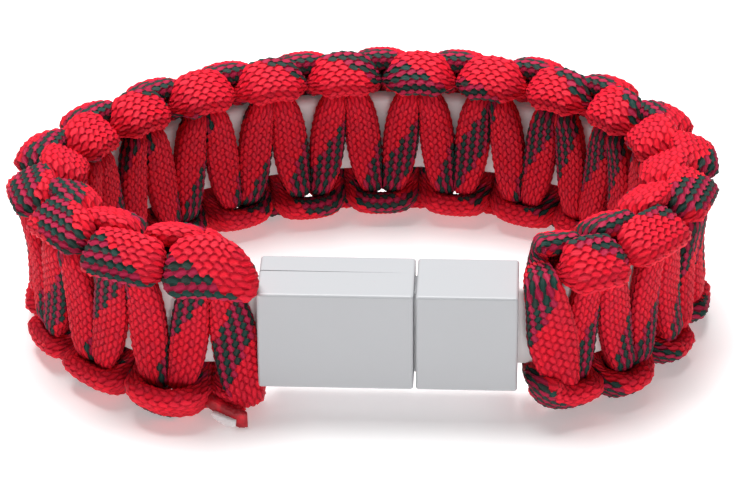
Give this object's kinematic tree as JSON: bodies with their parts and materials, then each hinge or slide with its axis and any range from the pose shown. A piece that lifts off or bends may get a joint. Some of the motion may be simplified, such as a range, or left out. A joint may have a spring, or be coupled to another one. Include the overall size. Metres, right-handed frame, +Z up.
{
  "type": "woven cord bracelet with block closure",
  "caption": "Closed wrist loop of braided cord woven in a cobra weave round a flat strap, joined by a rectangular two-part plastic block with a seam.",
  "frame": {"origin": "centre of the bounding box at the level the bracelet stands on, its lower edge", "axes": "+X along the closure block from its socket side to its plug side, +Y from the block's front face to the back of the loop, +Z up along the axis of the wrist"},
  "size_m": [0.096, 0.0638, 0.0253],
  "materials": {
    "cord": "braided synthetic sheath, red with dark green stitches",
    "strap": "smooth satin white",
    "housing": "satin moulded white",
    "tongue": "plain metal"
  },
  "bodies": {
    "root": {"cable_core": "strap", "outer_crossing_cord": "cord", "inner_crossing_cord": "cord", "housing_front_shell": "housing", "housing_back_shell": "housing", "plug_body": "housing", "plug_tongue": "tongue"}
  },
  "joints": []
}
